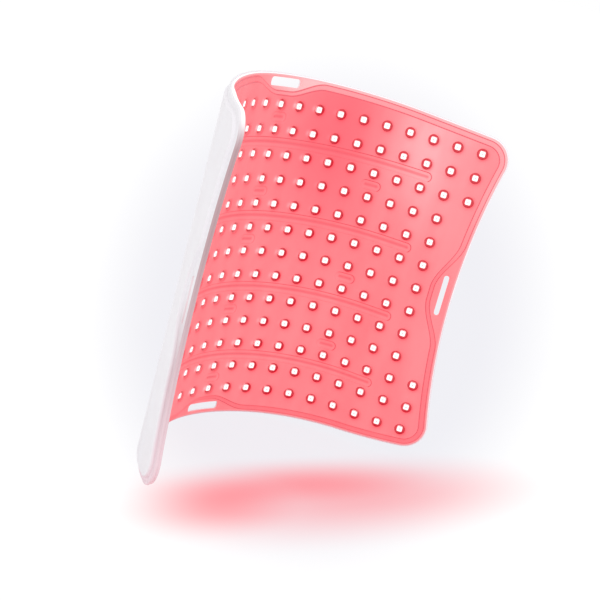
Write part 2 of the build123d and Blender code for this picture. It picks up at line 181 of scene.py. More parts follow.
class PanelColours(bpy.types.PropertyGroup):
    """Colours of the finishes, linear, and how strongly they glow."""

    front: colour("Front", "Lit silicone", (0.83, 0.215, 0.235))
    front_deep: colour("Front, deep", "Lit silicone where it glows most", (0.80, 0.105, 0.135))
    # Front, pale is a painted highlight on the lit silicone towards the upper right.
    front_highlight: colour("Front, pale", "Lit silicone towards the upper right", (0.84, 0.36, 0.38))
    # Rim is the front's rim with painted light on it, used at the upper right only.
    rim: colour("Rim", "Rim of the front", (0.82, 0.42, 0.43))
    line: colour("Line", "Shade at the steps of the front", (0.55, 0.07, 0.10))
    wall: colour("Edge", "Cut edge of the front skin", (0.86, 0.82, 0.84))
    # Edge line is painted shade along the front skin's rounded edge.
    rounded_edge_shade: colour("Edge line", "Rounded edge of the front skin", (0.58, 0.35, 0.37))
    halo: colour("Halo", "Light beside a well", (1.0, 0.62, 0.64))
    # Blush is painted shade, dark red, close round each well at its lower right.
    blush: colour("Blush", "Silicone close round the wells", (0.74, 0.03, 0.06))
    # Low step is painted shade on the low step, slight all round and deeper below and at the
    # sides; Low step, pale is painted light on it above.
    shaded_low_step: colour("Low step", "Low step at the sides and below", (0.80, 0.12, 0.15))
    lit_low_step: colour("Low step, pale", "Low step above", (0.83, 0.30, 0.32))
    front_glow: strength("Front glow", "Light given off by the front", 0.36)
    well: colour("Well", "Walls of the wells", (0.66, 0.02, 0.05))
    # Well, foot is painted shade at the foot of the wells' walls.
    well_foot_shade: colour("Well, foot", "Foot of the wells' walls", (0.50, 0.012, 0.035))
    well_glow: strength("Well glow", "Light given off in the wells", 0.25)
    back: colour("Back", "Back silicone", (0.89, 0.87, 0.905))
    # Back rim is painted grey shade on the left flap's edge and the back's rim, and also the grey
    # of the back's slight mottle; Back tip is that painted shade, paler, at the very foot.
    back_mottle_and_rim_shade: colour("Back rim", "Edge of the left flap, towards its foot", (0.52, 0.355, 0.38))
    back_tip_shade: colour("Back tip", "The same at the very foot", (0.88, 0.69, 0.75))
    lens: colour("Lens", "Lens of an LED", (1.0, 0.97, 0.97))
    lens_glow: strength("Lens glow", "Light given off by an LED", 0.66)
    die: colour("Die", "Middle of an LED's lens", (0.85, 0.60, 0.62))
    housing: colour("LED housing", "Frame of an LED package", (0.95, 0.70, 0.71))
    housing_glow: strength("LED housing glow", "Light given off by that frame", 0.3)
    die_glow: strength("Die glow", "Light given off by that middle", 0.35)
    board: colour("Board", "Lit face of the board", (0.70, 0.075, 0.105))
    chip: colour("Chip", "Resistors", (0.03, 0.03, 0.035))
    inlet: colour("Inlet", "Cover of the power inlet", (0.78, 0.77, 0.79))
    socket: colour("Socket", "Power socket", (0.02, 0.02, 0.023))
    contact: colour("Contact", "Contacts and solder", (0.70, 0.69, 0.66))
    lead: colour("Lead", "Sheath of the leads", (0.45, 0.02, 0.02))
    steel: colour("Steel", "Screws", (0.55, 0.55, 0.57))
    floor: colour("Floor", "Studio floor", (0.98, 0.98, 0.98))
    shade: colour("Shade", "Soft shade on the floor behind the panel", (0.81, 0.806, 0.845))
    pool: colour("Pool", "Red light on the floor, at its fullest", (0.98, 0.0, 0.03))


def smooth(share):
    """Rises from 0 to 1 as share does, level at both ends."""
    share = np.clip(share, 0, 1)
    return share * share * (3 - 2 * share)


def rise(t, start, full):
    """Rises smoothly from 0 to 1 as t goes from start to full."""
    return smooth((t - start) / (full - start))


def ramp(distance, width):
    """Rises smoothly from 0 to 1 across a contour, over width."""
    return smooth(distance / width + 0.5)


def slot_distance(s, z, reach, radius, corner):
    """Distance from a rectangle of half sizes reach and radius whose corners have a radius."""
    x = abs(s) - (reach - corner)
    y = abs(z) - (radius - corner)
    outside = np.hypot(np.maximum(x, 0), np.maximum(y, 0))
    return outside + np.minimum(np.maximum(x, y), 0) - corner


class Curl:
    """The middle surface: five arcs seen from above, tangent to each other at the fold lines.

    Each arc has its two ends along the sheet, its radius, its centre, and the heading that the
    sheet has at its anchor, the place where the arc starts.
    """

    def __init__(self, sizes):
        inner = np.array(joints["fold_left_inner"]["pos_m"])
        other = np.array(joints["fold_right_inner"]["pos_m"])
        self.middle = inner[2]
        fold, outer = (column * sizes.pitch for column in FOLD_COLUMNS[2:])
        radius = sizes.centre_radius
        apex = (inner + other) / 2
        apex[1] += radius * (1 - math.cos(fold / radius))
        far = sizes.columns * sizes.pitch
        self.folds = {
            "fold_left_outer": -outer, "fold_left_inner": -fold,
            "fold_right_inner": fold, "fold_right_outer": outer,
        }
        centre = (apex[0], apex[1] - radius)
        self.arcs = [(-fold, fold, radius, centre, 0.0, 0.0)]
        for side, *radii in (
            (1, sizes.right_inner_radius, -sizes.right_end_radius),
            (-1, sizes.left_inner_radius, sizes.left_end_radius),
        ):
            _, _, last, centre, anchor, heading = self.arcs[0]
            for start, stop, radius in zip((fold, outer), (outer, far), radii):
                heading += (side * start - anchor) / last
                anchor = side * start
                centre = (
                    centre[0] + (last - radius) * math.sin(heading),
                    centre[1] + (last - radius) * math.cos(heading),
                )
                low, high = sorted((anchor, side * stop))
                self.arcs.append((low, high, radius, centre, anchor, heading))
                last = radius

    def place(self, s, z, n):
        """Points in the frame: each arc's centre plus its radius less n, at the turn of s."""
        s, z, n = np.broadcast_arrays(*(np.asarray(a, float) for a in (s, z, n)))
        x = np.zeros(s.shape)
        y = np.zeros(s.shape)
        for low, high, radius, centre, anchor, heading in self.arcs:
            inside = (s >= low) & (s <= high)
            turn = heading + (s - anchor) / radius
            x = np.where(inside, centre[0] + (radius - n) * np.sin(turn), x)
            y = np.where(inside, centre[1] + (radius - n) * np.cos(turn), y)
        return np.stack([x, y, self.middle + z], -1)

    def axes(self, s):
        """Unit vectors along the sheet and out of its front at the places s."""
        turn = np.zeros(np.shape(s))
        for low, high, radius, _, anchor, heading in self.arcs:
            turn = np.where((s >= low) & (s <= high), heading + (s - anchor) / radius, turn)
        flat = np.zeros(turn.shape)
        along = np.stack([np.cos(turn), -np.sin(turn), flat], -1)
        front = np.stack([-np.sin(turn), -np.cos(turn), flat], -1)
        return along, front


class Outline:
    """The flat sheet's edge: bowed ends, drawn-in sides and round corners, as arcs."""

    def __init__(self, sizes):
        self.sizes = sizes
        self.half_height = (sizes.rows - 1) / 2 * sizes.pitch + sizes.end_rim
        self.half_waist = ((sizes.columns - 1) / 2 - 1) * sizes.pitch + sizes.side_rim
        self.below = self.half_height - sizes.crown_radius
        self.beyond = self.half_waist + sizes.waist_radius
        reach_a = sizes.crown_radius - sizes.corner_radius
        reach_b = sizes.waist_radius + sizes.corner_radius
        apart = math.hypot(self.beyond, self.below)
        along = (reach_a**2 - reach_b**2 + apart**2) / (2 * apart)
        aside = math.sqrt(reach_a**2 - along**2)
        unit = (self.beyond / apart, -self.below / apart)
        self.corner = (
            along * unit[0] - aside * unit[1],
            self.below + along * unit[1] + aside * unit[0],
        )
        self.top_angle = math.atan2(self.corner[1] - self.below, self.corner[0])
        self.side_angle = math.atan2(-self.corner[1], self.beyond - self.corner[0])
        self.end_slot = self.half_height - sizes.end_slot_rim - sizes.end_slot_width / 2
        self.side_slot = self.half_waist - sizes.side_slot_rim - sizes.side_slot_width / 2
        self.step_edge = (sizes.step_inset, sizes.step_bay)
        self.field_edge = (sizes.field_inset, sizes.field_bay)

    def inset(self, s, z):
        """Distance in from the edge: the least of the bow's, the draw's and the corner's."""
        s, z = abs(s), abs(z)
        bow = self.sizes.crown_radius - np.hypot(s, z - self.below)
        draw = np.hypot(self.beyond - s, z) - self.sizes.waist_radius
        ds, dz = s - self.corner[0], z - self.corner[1]
        angle = np.arctan2(dz, ds)
        turned = (angle > self.side_angle) & (angle < self.top_angle)
        return np.where(
            turned, self.sizes.corner_radius - np.hypot(ds, dz), np.minimum(bow, draw)
        )

    def slots(self, s, z):
        """Distance from the nearest strap slot, negative inside it."""
        sizes = self.sizes
        reach = sizes.slot_length / 2
        radius = sizes.end_slot_width / 2
        end = slot_distance(s, abs(z) - self.end_slot, reach, radius, sizes.slot_corner)
        radius = sizes.side_slot_width / 2
        side = slot_distance(z, abs(s) - self.side_slot, reach, radius, radius)
        return np.minimum(end, side)

    def end_bay(self, s, inset, margin):
        """How much further in a field's edge runs beside the top and bottom slots.

        It is level beside the slot and falls to nothing in an S-curve along s.
        """
        sizes = self.sizes
        deep = sizes.end_slot_rim + sizes.end_slot_width + margin - inset
        return rise(abs(s), sizes.end_bay_reach, sizes.end_bay_start) * deep

    def side_bay(self, z, inset, margin):
        """The same beside the side slots, in an S-curve along z."""
        sizes = self.sizes
        deep = sizes.side_slot_rim + sizes.side_slot_width + sizes.side_bay_room + margin - inset
        return rise(abs(z), sizes.side_bay_reach, sizes.side_bay_start) * deep

    def bay(self, s, z, inset, margin):
        """The same at any place, beside the slot that is near it."""
        near_end = abs(z) > END_ROW * self.sizes.pitch
        near_side = abs(s) > SIDE_COLUMN * self.sizes.pitch
        side = self.side_bay(z, inset, margin) * near_side
        return np.where(near_end, self.end_bay(s, inset, margin), side)

    def field(self, s, z, inset, margin):
        """Distance inside a raised field, whose edge keeps clear of the slots."""
        return self.inset(s, z) - inset - self.bay(s, z, inset, margin)

    def rays(self, s, z, ends):
        """Where each point of the block's border meets the edge, and the way out there.

        A point goes straight out, and those near a corner slide along, so that the last one
        meets the middle of the corner's arc.
        """
        sizes = self.sizes
        radius = sizes.corner_radius
        middle = (self.top_angle + self.side_angle) / 2
        from_top = slide(
            abs(s), SIDE_COLUMN * sizes.pitch, ends[0],
            self.corner[0] + radius * math.cos(self.top_angle),
            radius, self.top_angle - middle,
        )
        from_side = slide(
            abs(z), SPREAD_ROW * sizes.pitch, ends[1],
            self.corner[1] + radius * math.sin(self.side_angle),
            radius, middle - self.side_angle,
        )
        on_top = abs(z) > ends[1] - NUDGE
        place = np.where(on_top, from_top[0], from_side[0])
        turn = np.where(on_top, self.top_angle - from_top[1], self.side_angle + from_side[1])
        on_arc = np.where(on_top, from_top[1], from_side[1]) > 0
        bow = np.arcsin(np.clip(place / sizes.crown_radius, -1, 1))
        draw = np.arcsin(np.clip(place / sizes.waist_radius, -1, 1))
        edge_s = np.where(on_top, place, self.beyond - sizes.waist_radius * np.cos(draw))
        edge_z = np.where(on_top, self.below + sizes.crown_radius * np.cos(bow), place)
        out_s = np.where(on_top, np.sin(bow), np.cos(draw))
        out_z = np.where(on_top, np.cos(bow), -np.sin(draw))
        edge_s = np.where(on_arc, self.corner[0] + radius * np.cos(turn), edge_s)
        edge_z = np.where(on_arc, self.corner[1] + radius * np.sin(turn), edge_z)
        out_s = np.where(on_arc, np.cos(turn), out_s)
        out_z = np.where(on_arc, np.sin(turn), out_z)
        side, up = np.where(s < 0, -1, 1), np.where(z < 0, -1, 1)
        return edge_s * side, edge_z * up, out_s * side, out_z * up


def slide(t, start, end, tangent, radius, arc):
    """Spreads the points t from start to end over the rest of a side and half its corner.

    The way gone grows with the square of t, so it starts off even. Gives the place on the
    side, and the angle gone round the corner.
    """
    way = tangent - start + radius * arc
    gone = np.clip(t - start, 0, None)
    span = end - start
    gone = gone + (way - span) * (gone / span) ** 2
    turned = np.clip(gone - (tangent - start), 0, None) / radius
    return np.where(t > start, start + np.minimum(gone, tangent - start), t), turned


def list_lines(half_cell, count, pitch, reach):
    """Grid lines of a row of cells, each alike about its centre; the outer ones end at reach."""
    half = np.array(half_cell) * pitch
    cell = np.concatenate([-half[:0:-1], half])
    centres = (np.arange(count) - (count - 1) / 2) * pitch
    lines = np.unique(np.round((centres[:, None] + cell).ravel(), 7))
    return lines[abs(lines) <= centres[-1] + reach + NUDGE]


def has_led(column, row, sizes):
    """Whether a cell, counted from the centre, holds an LED."""
    last_column = (sizes.columns - 1) // 2
    last_row = (sizes.rows - 1) // 2
    full = abs(column) < last_column
    corner = abs(row) > last_row - sizes.full_rows
    return (abs(column) <= last_column) & (abs(row) <= last_row) & (full | corner)


def split_cells(s, z, sizes):
    """The offset from the nearest cell's centre, and whether that cell has an LED."""
    column, row = np.round(s / sizes.pitch), np.round(z / sizes.pitch)
    x, y = s - column * sizes.pitch, z - row * sizes.pitch
    return x, y, has_led(column, row, sizes)


def round_wells(s, z, sizes, quiet):
    """Turns the square rings of grid lines about each LED into circles.

    A ring's half side becomes its radius and its points are spread evenly by angle. From the
    lip out to the half side quiet the circles ease back to squares.
    """
    x, y, lit = split_cells(s, z, sizes)
    big = np.maximum(abs(x), abs(y))
    small = np.minimum(abs(x), abs(y))
    angle = math.pi / 4 * small / np.maximum(big, 1e-9)
    wide = abs(x) >= abs(y)
    along = np.where(wide, np.cos(angle), np.sin(angle)) * big * np.sign(x)
    up = np.where(wide, np.sin(angle), np.cos(angle)) * big * np.sign(y)
    weight = 1 - smooth((big - sizes.lip) / (quiet - sizes.lip))
    weight = np.where(lit & (big < quiet), weight, 0)
    return s + weight * (along - x), z + weight * (up - y)


class Sheet:
    """A flat grid over the whole sheet: a block of cells, and rings from it to the edge.

    Each point has its place s, z. Its place before the wells were rounded is base_s, base_z,
    and on a ring that of the point of the block's border that it goes out from.
    """

    def __init__(self, sizes, across, upright, rings, fill):
        self.sizes = sizes
        self.outline = Outline(sizes)
        quiet = QUIET * sizes.pitch
        lines_s = list_lines(across, sizes.columns, sizes.pitch, quiet)
        lines_z = list_lines(upright, sizes.rows, sizes.pitch, quiet)
        self.ends = (lines_s[-1], lines_z[-1])
        base = np.array(np.meshgrid(lines_s, lines_z))
        s, z = round_wells(*base, sizes, quiet)
        points = np.array([self.draw_in(s, z), z]).reshape(2, -1)
        index = np.arange(s.size).reshape(s.shape)
        block = np.stack([index[:-1, :-1], index[:-1, 1:], index[1:, 1:], index[1:, :-1]], -1)
        border = np.concatenate(
            [index[0, :-1], index[:-1, -1], index[-1, :0:-1], index[:0:-1, 0]]
        )
        base = base.reshape(2, -1)
        places = self.lay_rings(points[:, border], base[:, border], rings, fill)
        outer = s.size + np.arange(len(places) * border.size).reshape(len(places), -1)
        inner = np.concatenate([border[None], outer[:-1]])
        bands = np.stack([inner, outer, np.roll(outer, -1, 1), np.roll(inner, -1, 1)], -1)
        self.quads = np.concatenate([block.reshape(-1, 4), bands.reshape(-1, 4)])
        self.block_quads = block.size // 4
        self.s, self.z = np.concatenate([points, *places], 1)
        self.base_s, self.base_z = np.concatenate([base] + [base[:, border]] * len(places), 1)

    def draw_in(self, s, z):
        """Squeezes the outermost cells along s, so that they end inside the field's edge."""
        sizes, end = self.sizes, self.ends[0]
        start = end - sizes.pitch
        room = sizes.waist_radius - np.sqrt(sizes.waist_radius**2 - z**2)
        bay = self.outline.side_bay(z, *self.outline.field_edge)
        edge = self.outline.half_waist + room - bay - sizes.field_inset - 2 * sizes.edge_ramp
        past = np.clip(abs(s) - start, 0, None)
        squeezed = start + past * (np.minimum(end, edge) - start) / (end - start)
        return np.where(abs(s) > start, np.sign(s) * squeezed, s)

    def lay_rings(self, start, base, rings, fill):
        """Rings of points between the block and the edge.

        First come fill even steps, then a ring for each entry of rings: its inset, and its
        shares of the field's bays and of the step's bays, which it follows past the slots.
        """
        rays = self.outline.rays(*base, self.ends)
        edge, out = np.array(rays[:2]), np.array(rays[2:])
        field_bay = self.outline.bay(*edge, *self.outline.field_edge)
        step_bay = self.outline.bay(*edge, *self.outline.step_edge)
        places = [
            edge - (inset + field * field_bay + step * step_bay) * out
            for inset, field, step in rings
        ]
        return [start + t * (places[0] - start) for t in np.arange(1, fill) / fill] + places

    def pierce(self, wells):
        """Takes out the faces in the strap slots and wells, and rounds the slots' borders.

        A border point is moved by its distance from the slot's edge against that distance's
        slope, three times over.
        """
        distance = self.outline.slots
        in_slot = distance(self.s[self.quads].mean(1), self.z[self.quads].mean(1)) < 0
        gone = in_slot.copy()
        self.well_rim = np.zeros(self.s.size, bool)
        if wells:
            x, y, lit = split_cells(
                self.base_s[self.quads].mean(1), self.base_z[self.quads].mean(1), self.sizes
            )
            in_well = lit & (np.maximum(abs(x), abs(y)) < self.sizes.well)
            in_well[self.block_quads:] = False
            self.well_rim[self.quads[in_well]] = True
            gone |= in_well
        rim = np.intersect1d(self.quads[in_slot], self.quads[~gone])
        step, least = 1e-5, 0.25
        s, z = self.s[rim], self.z[rim]
        for _ in range(3):
            slope_s = (distance(s + step, z) - distance(s - step, z)) / (2 * step)
            slope_z = (distance(s, z + step) - distance(s, z - step)) / (2 * step)
            move = distance(s, z) / np.maximum(slope_s**2 + slope_z**2, least)
            s, z = s - move * slope_s, z - move * slope_z
        self.s[rim], self.z[rim] = s, z
        self.quads = self.quads[~gone]

    def cut(self, low, high):
        """The faces between two places along the sheet."""
        middle = self.base_s[self.quads].mean(1)
        return self.quads[(middle > low) & (middle < high)]


def rim_rings(last, rounding):
    """Rings from the last one that follows a bay out to the rim, where they round the edge.

    Seven rings leave the bay in even steps, and then there is one at each inset of rounding.
    """
    inset, _, bay = last
    leaving = [
        (inset + (rounding[0] - inset) * t, 0, bay * (1 - t)) for t in np.arange(1, 8) / 8
    ]
    return leaving + [(inset, 0, 0) for inset in rounding]


def close_shell(top, bottom, quads, rim):
    """A closed shell from two surfaces on one grid: its faces, and which belong to wells.

    The bottom has the same faces turned over, and every open border edge gets a wall.
    """
    used, quads = np.unique(quads, return_inverse=True)
    quads = quads.reshape(-1, 4)
    count = used.size
    heads, tails = quads.ravel(), np.roll(quads, -1, 1).ravel()
    code = heads.astype(np.int64) * count + tails
    back = tails.astype(np.int64) * count + heads
    open_edge = ~np.isin(code, back)
    a, b = heads[open_edge], tails[open_edge]
    walls = np.stack([b, a, a + count, b + count], -1)
    faces = np.concatenate([quads, quads[:, ::-1] + count, walls])
    rim = rim[used]
    slot = np.zeros(len(faces), np.int32)
    slot[2 * len(quads):] = rim[a] & rim[b]
    return used, np.concatenate([top[used], bottom[used]]), faces, slot


def make_mesh(name, points, faces, materials, slot=None):
    """A mesh object from arrays of points and four-cornered faces."""
    mesh = bpy.data.meshes.new(name)
    mesh.vertices.add(len(points))
    mesh.vertices.foreach_set("co", np.ascontiguousarray(points, np.float32).ravel())
    mesh.loops.add(faces.size)
    mesh.loops.foreach_set("vertex_index", faces.astype(np.int32).ravel())
    mesh.polygons.add(len(faces))
    mesh.polygons.foreach_set("loop_start", np.arange(0, faces.size, 4, dtype=np.int32))
    for material in materials:
        mesh.materials.append(material)
    if slot is not None:
        mesh.polygons.foreach_set("material_index", slot.astype(np.int32))
    mesh.update(calc_edges=True)
    mesh.shade_smooth()
    mesh.set_sharp_from_angle(angle=math.radians(SHARP_ANGLE))
    piece = bpy.data.objects.new(name, mesh)
    bpy.context.scene.collection.objects.link(piece)
    return piece


def set_attribute(piece, name, values):
    """A number for each point of a piece, for its material to read."""
    layer = piece.data.attributes.new(name, "FLOAT", "POINT")
    layer.data.foreach_set("value", np.ascontiguousarray(values, np.float32))


def list_grooves(sizes):
    """Grooves and marks: centre s, centre z and half length."""
    pitch = sizes.pitch
    grooves = [(0.0, row * pitch, GROOVE_REACH * pitch) for row in GROOVE_ROWS]
    marks = [(0, row) for row in MARK_ROWS]
    marks += [(side * SIDE_MARK_COLUMN, row) for side in (-1, 1) for row in SIDE_MARK_ROWS]
    return grooves + [(s * pitch, z * pitch, sizes.mark_length / 2) for s, z in marks]


# Where painted light and shade on the sheet start and where they are full, in columns or in rows,
# and the middle and spread of its two soft spots: painted glow, and a painted highlight.
BEAD_COLUMNS, BEAD_ROWS = (-6, -7.5), (5, 6.5)
UPPER_COLUMNS, UPPER_ROWS = (-2.5, 1.5), (1.5, 5)
SHADED_ROWS, SHADED_SIDE_ROW = (2, 0.7), 6
HALO_COLUMNS = (3.5, -0.5)
FLAP_ROWS, TIP_ROWS = (6.6, 5.4), (2, -6.7)
FOOT_ROWS = (0.5, -3)
DEEP_SPOT = (3.4, 5.4), (3.2, 4.7)
HIGHLIGHT_SPOT = (6.9, 5.7), (1.8, 3.2)
# The same about a well, in metres: the painted highlight's middle and spread, and the way and
# reach of the painted shade at its lower right.
HALO_SPOT = (-0.0042, 0.0004), (0.0012, 0.0015)
SHADE_CRESCENT_WAY = (0.75, -0.65)
SHADE_CRESCENT_REACH = 0.0009
# Shares: what the bead gains at the top, the shade of the marks from the middle to the left
# against that of the others, and the shade of the back's right rim against its left.
BEAD_GAIN = 0.6
FAINT_MARK = 0.4
RIGHT_RIM = 0.35


def groove_distances(s, z, sizes):
    """Distances inside the nearest groove or mark and inside its channel.

    The last one is 1 on the groove's upper and right walls, which lie in shade, and 0 opposite.
    """
    half = sizes.groove_width / 2
    groove = np.full(s.shape, -1.0)
    lee = np.zeros(s.shape)
    for at_s, at_z, reach in list_grooves(sizes):
        past_end = np.clip(abs(s - at_s) - reach + half, 0, None)
        inside = half - np.hypot(past_end, z - at_z)
        nearest = inside > groove
        groove = np.where(nearest, inside, groove)
        up = (z - at_z + 2 * np.sign(s - at_s) * past_end) / half
        share = FAINT_MARK if at_s <= 0 and reach < 2 * sizes.pitch else 1.0
        lee = np.where(nearest, share * rise(up, -0.6, 0.4), lee)
    return groove, groove - half + sizes.trough_width / 2, lee


def soft_spot(x, y, middle, spread):
    """1 at a middle, falling as a bell curve with a spread along x and along y."""
    return np.exp(-(((x - middle[0]) / spread[0]) ** 2) - ((y - middle[1]) / spread[1]) ** 2)


def well_shade_crescent(s, z, sizes):
    """Painted shade: 1 at a well's edge, lower right, and 0 upper left, falling off exponentially
    outside it.
    """
    x, y, lit = split_cells(s, z, sizes)
    away = np.maximum(np.hypot(x, y), 1e-9)
    lean = 0.5 + 0.5 * (SHADE_CRESCENT_WAY[0] * x + SHADE_CRESCENT_WAY[1] * y) / away
    return lit * lean * np.exp(-np.clip(away - sizes.well, 0, None) / SHADE_CRESCENT_REACH)


def well_halo(s, z, sizes):
    """A painted highlight: a soft spot at the left of each well, on the left half of the sheet.
    """
    x, y, lit = split_cells(s, z, sizes)
    return lit * soft_spot(x, y, *HALO_SPOT) * rise(s / sizes.pitch, *HALO_COLUMNS)


def flap_shares(column, row):
    """Shares of the left edge's painted grey shade, which starts below the top, and of its pale
    foot.
    """
    start, full = TIP_ROWS
    return {
        "flap": (column < -SIDE_COLUMN) * rise(row, *FLAP_ROWS),
        "tip": np.clip((row - start) / (full - start), 0, 1),
    }


def round_over(distance, radius):
    """How far a quarter round falls at a distance in from its edge."""
    gone = np.clip(1 - distance / radius, 0, 1)
    return radius * (1 - np.sqrt(1 - gone**2))


def round_edges(sheet, edge):
    """How far a face falls near the outer edge, told as a distance in from it, and the slots."""
    radius = sheet.sizes.rim_round
    return round_over(edge, radius) + round_over(
        sheet.outline.slots(sheet.s, sheet.z), radius / 2
    )


def recess_depth(sheet):
    """How far a skin's inner side stands off the middle surface, to leave room for the board."""
    sizes, outline = sheet.sizes, sheet.outline
    recess = outline.field(sheet.s, sheet.z, sizes.recess_inset, sizes.recess_bay)
    return sizes.recess * ramp(recess, sizes.edge_ramp)


def front_heights(sheet):
    """Depths of the front skin's face and of its underside, and attributes for its material.

    The face rises from the rim by a step and a field, falls in the grooves and their channels,
    and rounds off at the edge, at the slots and at the wells' lips.
    """
    sizes, outline = sheet.sizes, sheet.outline
    s, z = sheet.s, sheet.z
    column, row = s / sizes.pitch, z / sizes.pitch
    inset = outline.inset(s, z)
    edge = inset - sizes.front_edge
    step = outline.field(s, z, *outline.step_edge)
    field = outline.field(s, z, *outline.field_edge)
    groove, channel, lee = groove_distances(s, z, sizes)
    face = sizes.flange + sizes.step_height * ramp(step, sizes.edge_ramp)
    face += (sizes.field_height - sizes.step_height) * ramp(field, sizes.edge_ramp)
    bead = np.clip(1 - inset / sizes.left_lip_width, 0, 1) * rise(column, *BEAD_COLUMNS)
    face += sizes.left_lip * bead * (1 + BEAD_GAIN * rise(row, *BEAD_ROWS))
    face -= sizes.groove_depth * ramp(groove, sizes.groove_ramp)
    face -= sizes.trough_depth * ramp(channel, sizes.trough_ramp)
    face -= round_edges(sheet, edge) + sizes.lip_drop * sheet.well_rim
    below = (row < 0) | (abs(column) > SIDE_COLUMN) & (row < SHADED_SIDE_ROW)
    # Shares for the material: upper marks painted light at the upper right, shaded painted shade
    # below and at the sides; the rest hold painted shade and highlight about the wells, the
    # painted glow and highlight spots, and the flap edge's painted shade.
    attributes = {
        "along": s, "up": z, "edge": edge, "step": step, "field": field,
        "groove": groove, "channel": channel, "lee": lee,
        "upper": rise(column, *UPPER_COLUMNS) * rise(row, *UPPER_ROWS),
        "shaded": rise(row, *SHADED_ROWS) * below,
        "blush": well_shade_crescent(s, z, sizes), "halo": well_halo(s, z, sizes),
        "deep": soft_spot(column, row, *DEEP_SPOT), "pale": soft_spot(column, row, *HIGHLIGHT_SPOT),
        **flap_shares(column, row),
    }
    return face, recess_depth(sheet), attributes


def back_heights(sheet):
    """Depths of the back skin's face and of its inner side, and attributes for its material.

    The face rises from the rim by one field, and rounds off at the edge and at the slots.
    """
    sizes, outline = sheet.sizes, sheet.outline
    column, row = sheet.s / sizes.pitch, sheet.z / sizes.pitch
    inset = outline.inset(sheet.s, sheet.z)
    field = outline.field(sheet.s, sheet.z, sizes.back_inset, sizes.step_bay)
    face = sizes.flange + sizes.back_height * ramp(field, 2 * sizes.edge_ramp)
    face -= round_edges(sheet, inset)
    # The rim's share of painted shade: full on the left, less on the right, growing towards the
    # foot.
    rim = ramp(-field, 2 * sizes.edge_ramp) * np.where(column < 0, 1.0, RIGHT_RIM)
    attributes = {
        "rim": rim * rise(row, *FOOT_ROWS), "edge": inset, **flap_shares(column, row)
    }
    return face, recess_depth(sheet), attributes


# Each length of a skin, from left to right: its name, the column where it ends, the two bodies
# that it bends between, the fold that joins them and the solids that it stands for.
LENGTHS = (
    ("left_outer", -4.5, "left_end", "left_inner", "fold_left_outer", ("left_end",)),
    ("left_inner", 0.5, "left_inner", "centre", "fold_left_inner", ("left_inner",)),
    ("right_inner", 4.5, "centre", "right_inner", "fold_right_inner", ("centre", "right_inner")),
    ("right_outer", 10.5, "right_inner", "right_end", "fold_right_outer", ("right_end",)),
)


def hang_lengths(kind, sheet, heights, materials):
    """Cuts a closed skin into four lengths, and hides the solids that each stands for.

    The front skin lies above the curl's middle surface and the back skin below it.
    """
    face, under, attributes = heights
    side = 1 if kind == "front" else -1
    curl = Curl(sheet.sizes)
    top = curl.place(sheet.s, sheet.z, side * face)
    bottom = curl.place(sheet.s, sheet.z, side * under)
    half = sheet.sizes.pitch / 2
    low = -LENGTHS[-1][1]
    for name, high, body_a, body_b, fold, stands_for in LENGTHS:
        quads = sheet.cut(low * sheet.sizes.pitch, high * sheet.sizes.pitch)[:, ::side]
        used, points, faces, slot = close_shell(top, bottom, quads, sheet.well_rim)
        piece = make_mesh(f"{kind}_silicone_{name}", points, faces, materials, slot)
        for label, values in attributes.items():
            set_attribute(piece, label, np.tile(values[used], 2))
        set_attribute(piece, "inner", np.repeat([0.0, 1.0], used.size))
        at = curl.folds[fold]
        start, end = (Vector(curl.place(at + way, 0, 0)) for way in (-half, half))
        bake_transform(piece)
        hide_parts(*(f"{kind}_skin_{part}" for part in stands_for))
        low = high


class Nodes:
    """Adds shader nodes to a tree. A socket takes a number, a colour or another socket."""

    def __init__(self, tree):
        self.tree = tree

    def feed(self, socket, value):
        """Gives a socket its link or its value."""
        if isinstance(value, bpy.types.NodeSocket):
            self.tree.links.new(value, socket)
        elif socket.type == "RGBA":
            socket.default_value = (*value, 1)
        else:
            socket.default_value = value

    def add(self, kind, inputs=None, **settings):
        """The outputs of a new node, whose inputs go by name or by number."""
        node = self.tree.nodes.new(f"ShaderNode{kind}")
        for name, value in settings.items():
            setattr(node, name, value)
        for name, value in (inputs or {}).items():
            self.feed(node.inputs[name], value)
        return node.outputs

    def math(self, operation, *values):
        """One number worked out from others."""
        return self.add("Math", dict(enumerate(values)), operation=operation)[0]

    def mix(self, share, first, second):
        """A colour between two, by a share."""
        return self.add("Mix", {0: share, 6: first, 7: second}, data_type="RGBA")[2]

    def ease(self, value, source, target):
        """Goes smoothly from one end of target to the other as value does over source."""
        ends = zip(("From Min", "From Max", "To Min", "To Max"), source + target)
        return self.add(
            "MapRange", {"Value": value, **dict(ends)}, interpolation_type="SMOOTHSTEP"
        )["Result"]

    def read(self, name):
        """An attribute of the piece."""
        return self.add("Attribute", attribute_name=name)["Fac"]

    def past(self, name, start, stop):
        """A share that rises from 0 to 1 as an attribute goes from start to stop."""
        return self.ease(self.read(name), (start, stop), (0.0, 1.0))

    def near(self, name, width):
        """A share that is 1 where an attribute is 0 and falls to 0 at width from there."""
        size = self.math("ABSOLUTE", self.read(name))
        return self.ease(size, (width / 4, width), (1.0, 0.0))

    def place(self):
        """Object coordinates."""
        return self.add("TexCoord")["Object"]

    def noise(self, place, scale, detail):
        """Noise about 0.5."""
        return self.add("TexNoise", {"Vector": place, "Scale": scale, "Detail": detail})["Fac"]

    def turned_place(self, vector, centre, turn, radii=(1.0, 1.0)):
        """A place as seen from a centre, turned about Z by degrees and measured in radii."""
        inputs = {
            "Vector": vector, "Location": (*centre, 0.0),
            "Rotation": (0.0, 0.0, math.radians(turn)), "Scale": (*radii, 1.0),
        }
        return self.add("Mapping", inputs, vector_type="TEXTURE")["Vector"]

    def fade_out(self, vector, start, share):
        """A share inside the length start of a vector, falling smoothly to 0 at length 1."""
        size = self.add("VectorMath", {0: vector}, operation="LENGTH")["Value"]
        return self.ease(size, (start, 1.0), (share, 0.0))


